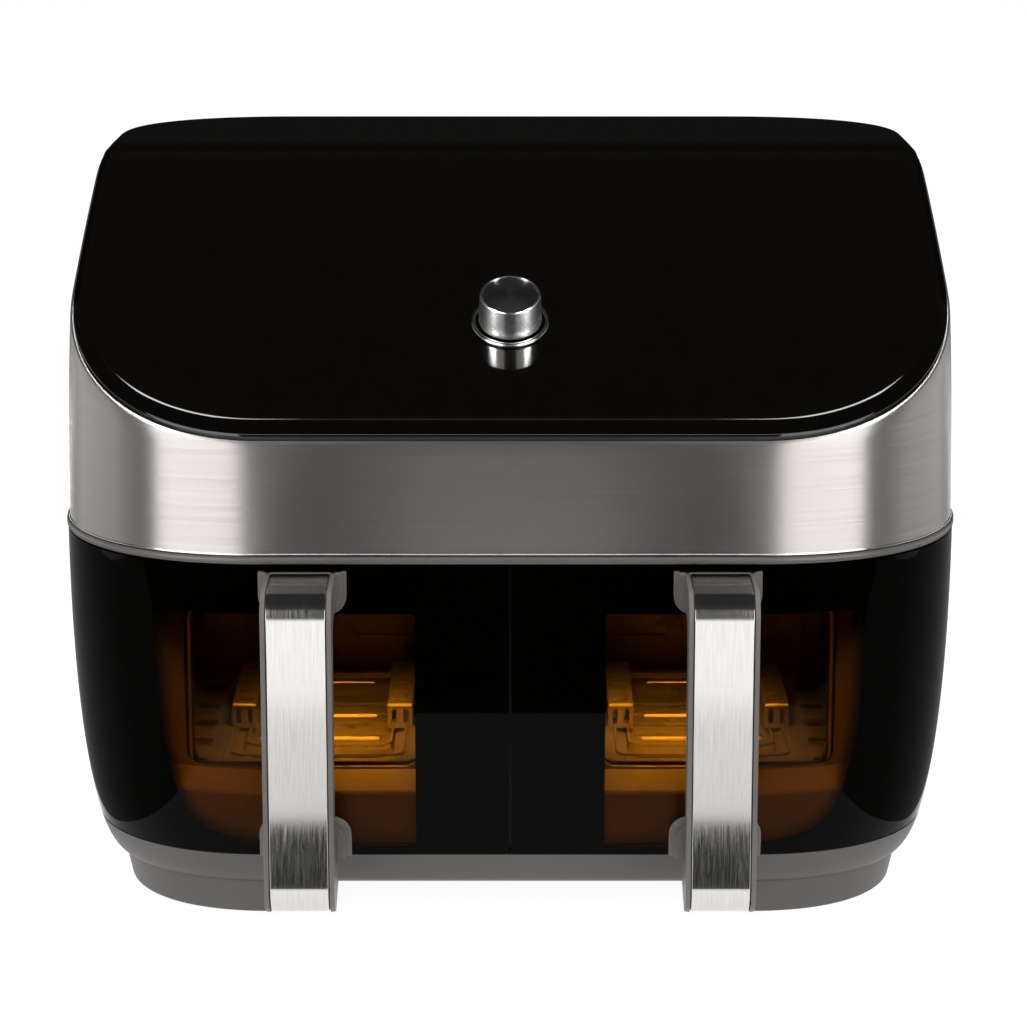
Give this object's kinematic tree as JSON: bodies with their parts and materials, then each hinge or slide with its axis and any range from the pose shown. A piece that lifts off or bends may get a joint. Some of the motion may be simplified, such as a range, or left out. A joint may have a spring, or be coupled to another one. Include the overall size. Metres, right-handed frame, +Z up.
{
  "type": "air fryer",
  "caption": "Free-standing twin-drawer air fryer with window drawers that pull out, a sloping control cover and a press-and-turn knob.",
  "frame": {"origin": "on the standing surface, under the middle of the bounding box", "axes": "+Z up, -Y to the front where the drawers pull out, +X to the right as seen from the front of the appliance"},
  "size_m": [0.3886, 0.3684, 0.315],
  "materials": {
    "black_gloss": "gloss",
    "brushed_steel": "brushed along its length",
    "polished_steel": "polished",
    "grey_plastic": "fine matt grain",
    "black_plastic": "matt",
    "amber_lens": "tinted, polished",
    "clear_glass": "polished",
    "nonstick": "dark non-stick coating",
    "sheet_steel": "mill",
    "element_steel": "heat-darkened",
    "silicone": "matt",
    "rubber": "matt",
    "circuit_board": "solder mask",
    "lamp_glass": "frosted"
  },
  "bodies": {
    "housing": {"base_tray": "grey_plastic", "foot_pad_front_left": "rubber", "foot_pad_front_right": "rubber", "foot_pad_rear_left": "rubber", "foot_pad_rear_right": "rubber", "steel_band": "brushed_steel", "trim_ring": "grey_plastic", "upper_frame": "black_plastic", "top_cover": "black_gloss", "rear_housing": "black_plastic", "rear_grille": "black_plastic", "cord_gland": "rubber", "knob_bezel": "polished_steel", "encoder_housing": "sheet_steel", "control_board": "circuit_board", "power_board": "circuit_board", "cavity_liner_left": "sheet_steel", "air_guide_left": "sheet_steel", "heating_element_left": "element_steel", "element_guard_left": "sheet_steel", "cavity_lamp_left": "lamp_glass", "fan_motor_left": "sheet_steel", "cavity_liner_right": "sheet_steel", "air_guide_right": "sheet_steel", "heating_element_right": "element_steel", "element_guard_right": "sheet_steel", "cavity_lamp_right": "lamp_glass", "fan_motor_right": "sheet_steel"},
    "left_drawer": {"pan_left": "nonstick", "window_lens_left": "amber_lens", "front_frame_left": "black_plastic", "window_glass_left": "clear_glass", "window_seal_left": "silicone", "handle_body_left": "grey_plastic", "handle_cover_left": "brushed_steel", "handle_screw_left": "polished_steel"},
    "right_drawer": {"pan_right": "nonstick", "window_lens_right": "amber_lens", "front_frame_right": "black_plastic", "window_glass_right": "clear_glass", "window_seal_right": "silicone", "handle_body_right": "grey_plastic", "handle_cover_right": "brushed_steel", "handle_screw_right": "polished_steel"},
    "left_crisper": {"crisper_plate_left": "nonstick", "crisper_bumper_front_left": "silicone", "crisper_bumper_rear_left": "silicone"},
    "right_crisper": {"crisper_plate_right": "nonstick", "crisper_bumper_front_right": "silicone", "crisper_bumper_rear_right": "silicone"},
    "knob_slider": {"encoder_plunger": "black_plastic"},
    "knob": {"encoder_shaft": "polished_steel", "knob_core": "black_plastic", "knob_shell": "brushed_steel"},
    "left_fan": {"convection_fan_left": "sheet_steel", "motor_shaft_left": "polished_steel", "cooling_fan_left": "black_plastic"},
    "right_fan": {"convection_fan_right": "sheet_steel", "motor_shaft_right": "polished_steel", "cooling_fan_right": "black_plastic"}
  },
  "joints": [
    {"name": "left_drawer_slide", "type": "slide", "parent": "housing", "child": "left_drawer", "axis": [0, -1, 0], "range_m": [0, 0.225]},
    {"name": "right_drawer_slide", "type": "slide", "parent": "housing", "child": "right_drawer", "axis": [0, -1, 0], "range_m": [0, 0.225]},
    {"name": "left_crisper_lift", "type": "slide", "parent": "left_drawer", "child": "left_crisper", "axis": [0, 0, 1], "range_m": [0, 0.098]},
    {"name": "right_crisper_lift", "type": "slide", "parent": "right_drawer", "child": "right_crisper", "axis": [0, 0, 1], "range_m": [0, 0.098]},
    {"name": "knob_press", "type": "slide", "parent": "housing", "child": "knob_slider", "axis": [0, 0.4872, -0.8733], "range_m": [0, 0.0008], "stiffness_N_per_m": 1500, "springref_m": -0.0008},
    {"name": "knob_spin", "type": "hinge", "parent": "knob_slider", "child": "knob", "pos_m": [0, -0.08125, 0.25336], "axis": [0, -0.4872, 0.8733], "continuous": true},
    {"name": "left_fan_spin", "type": "hinge", "parent": "housing", "child": "left_fan", "pos_m": [-0.0875, 0.00925, 0.24], "axis": [0, 0, 1], "continuous": true},
    {"name": "right_fan_spin", "type": "hinge", "parent": "housing", "child": "right_fan", "pos_m": [0.0875, 0.00925, 0.24], "axis": [0, 0, 1], "continuous": true}
  ]
}
